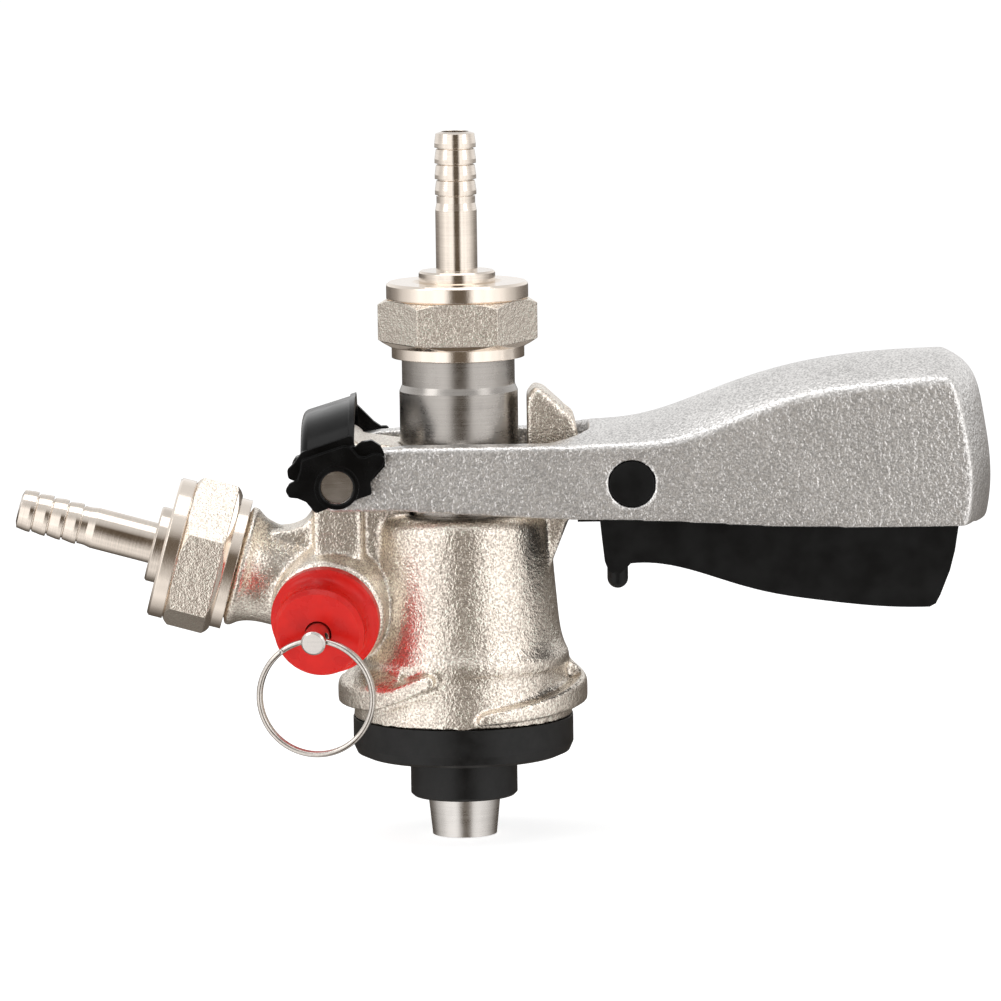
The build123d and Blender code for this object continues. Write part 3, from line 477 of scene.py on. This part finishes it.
def studio_floor(radius=30.0):
    """A wide pale disc just under the coupler."""
    paint = Paint("studio_floor", Roughness=0.9, Specular_IOR_Level=0.1,
                  Emission_Strength=0.70)
    tone = paint.noise(400.0, 2.0)
    paint.put(paint.shader.inputs["Emission Color"], grey(1.0))
    colour = paint.blend(tone, grey(0.90), grey(0.93))
    bm = bmesh.new()
    bmesh.ops.create_circle(bm, cap_ends=True, segments=96, radius=radius)
    floor = mesh_piece("studio_floor", bm, paint.done(colour))
    floor.location.z = cad_box[0].z - 0.0002
    floor.visible_glossy = False


def light_tent(radius=0.8):
    """A white shooting tent round the coupler, with a dark slit in front for the lens.

    It shows only in reflections, so that polished metal gets a dark band between two
    bright ones, as it has in front of a camera.
    """
    paint = Paint("light_tent", Roughness=1.0, Specular_IOR_Level=0.0,
                  Emission_Strength=1.0)
    place = paint.add("ShaderNodeVectorMath", {0: paint.coords}, operation="NORMALIZE")
    axes = paint.add("ShaderNodeSeparateXYZ", {0: place.outputs[0]}).outputs
    side, ahead, high = axes[0], axes[1], axes[2]
    front = paint.span(ahead, -0.45, -0.05, 1.0, 0.0)
    slit = paint.maths("MULTIPLY", front, paint.span(
        paint.maths("ABSOLUTE", paint.maths("SUBTRACT", side, 0.05)), 0.20, 0.42, 1.0, 0.0))
    slit = paint.maths("MULTIPLY", slit, paint.span(high, 0.35, 0.75, 1.0, 0.0))
    folds = paint.noise(220.0, 2.0, coords=paint.stretched(UP, 1.0, 0.12))
    wall = paint.blend(paint.span(folds, 0.35, 0.65), grey(1.15, 0.01), grey(1.45, 0.01))
    wall = paint.blend(paint.span(ahead, -0.65, 0.45), wall, grey(0.38, 0.05))
    wall = paint.blend(paint.span(high, 0.0, 0.10), wall, paint.blend(
        paint.span(ahead, 0.0, 0.4), wall, grey(0.95)))
    wall = paint.blend(paint.span(high, 0.30, 0.7), wall, grey(0.75))
    rear = paint.maths("MULTIPLY", paint.span(ahead, 0.3, 0.75), paint.span(high, 0.02, -0.06))
    wall = paint.blend(rear, wall, grey(0.10, 0.15))
    paint.put(paint.shader.inputs["Emission Color"], paint.blend(slit, wall, grey(0.10, 0.25)))
    bm = bmesh.new()
    bmesh.ops.create_icosphere(bm, subdivisions=5, radius=radius)
    bmesh.ops.reverse_faces(bm, faces=bm.faces)
    tent = mesh_piece("light_tent", bm, paint.done(grey(0.0)))
    tent.location = (cad_box[0] + cad_box[1]) / 2
    tent.visible_camera = tent.visible_shadow = tent.visible_diffuse = False


def soft_box(name, place, target, size, glow):
    """A soft box of size (width, height) at place, facing target, as bright as glow."""
    light = bpy.data.lights.new(name, "AREA")
    light.shape, light.size, light.size_y = "RECTANGLE", *size
    light.energy = glow * math.pi * size[0] * size[1]
    lamp = bpy.data.objects.new(name, light)
    lamp.location = place
    lamp.rotation_euler = (Vector(target) - Vector(place)).to_track_quat("-Z", "Y").to_euler()
    lamp.visible_camera = False
    bpy.context.scene.collection.objects.link(lamp)


def studio_light():
    middle = (cad_box[0] + cad_box[1]) / 2
    soft_box("left_box", (-0.55, -0.30, 0.45), middle, (0.30, 0.45), 1.8)
    soft_box("right_box", (0.55, -0.35, 0.40), middle, (0.25, 0.40), 1.2)
    soft_box("top_box", (0.0, -0.05, 0.75), middle, (0.7, 0.5), 1.2)
    world = bpy.data.worlds.new("studio")
    world.use_nodes = True
    backdrop = world.node_tree.nodes["Background"]
    backdrop.inputs["Color"].default_value = grey(1.0)
    backdrop.inputs["Strength"].default_value = 0.38
    bpy.context.scene.world = world
    bpy.context.scene.view_settings.view_transform = "Standard"


def studio_camera():
    """A long lens, a little above the coupler and turned a little on its own axis."""
    target = Vector((8.76, 0.0, 46.8)) * MM
    distance, elevation, roll = 1.5, math.radians(7.2), math.radians(0.8)
    back = Vector((0, -math.cos(elevation), math.sin(elevation)))
    right = Vector((1, 0, 0))
    up = back.cross(right)
    right, up = (right * math.cos(roll) - up * math.sin(roll),
                 up * math.cos(roll) + right * math.sin(roll))
    camera = bpy.data.objects.new("camera", bpy.data.cameras.new("camera"))
    camera.matrix_world = Matrix.Translation(target + back * distance) @ Matrix(
        (right, up, back)).transposed().to_4x4()
    camera.data.sensor_width = 36.0
    camera.data.lens = 248.15
    camera.data.clip_start, camera.data.clip_end = 0.05, 20.0
    bpy.context.scene.collection.objects.link(camera)
    bpy.context.scene.camera = camera


split_ring()
pin_shade_collars()
studio_floor()
light_tent()
studio_light()
studio_camera()
